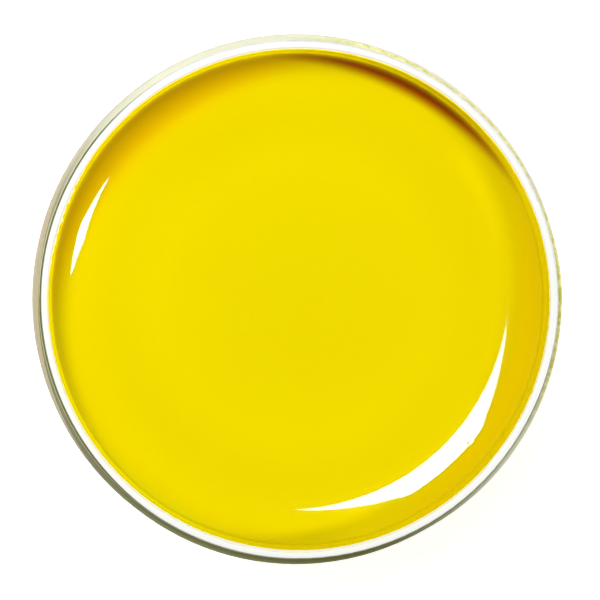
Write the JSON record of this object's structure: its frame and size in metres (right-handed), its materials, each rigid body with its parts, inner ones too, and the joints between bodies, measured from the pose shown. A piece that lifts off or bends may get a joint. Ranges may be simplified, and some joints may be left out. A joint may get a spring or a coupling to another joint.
{
  "type": "paint jar",
  "caption": "Open wide-mouth screw-top jar of glossy yellow paint, filled close to the lip, with its ribbed screw cap lying upside down beside it.",
  "frame": {"origin": "centre of the jar's standing ring, on the surface it stands on", "axes": "+Z up along the jar's axis; +Y is up in a view from straight above; the cap lies on the -X side"},
  "size_m": [0.1577, 0.1057, 0.076],
  "materials": {
    "jar_plastic": "milky, slightly see-through natural polypropylene",
    "yellow_paint": "wet, mirror-smooth",
    "cap_plastic": "white, satin, ribbed",
    "liner_foam": "fine closed-cell foam with dried paint"
  },
  "bodies": {
    "jar": {"jar_body": "jar_plastic", "paint": "yellow_paint"},
    "cap": {"cap_shell": "cap_plastic", "cap_liner": "liner_foam"}
  },
  "joints": [
    {"name": "cap_lift", "type": "slide", "parent": "jar", "child": "cap", "axis": [0, 0, 1], "range_m": [0, 0.12]}
  ]
}
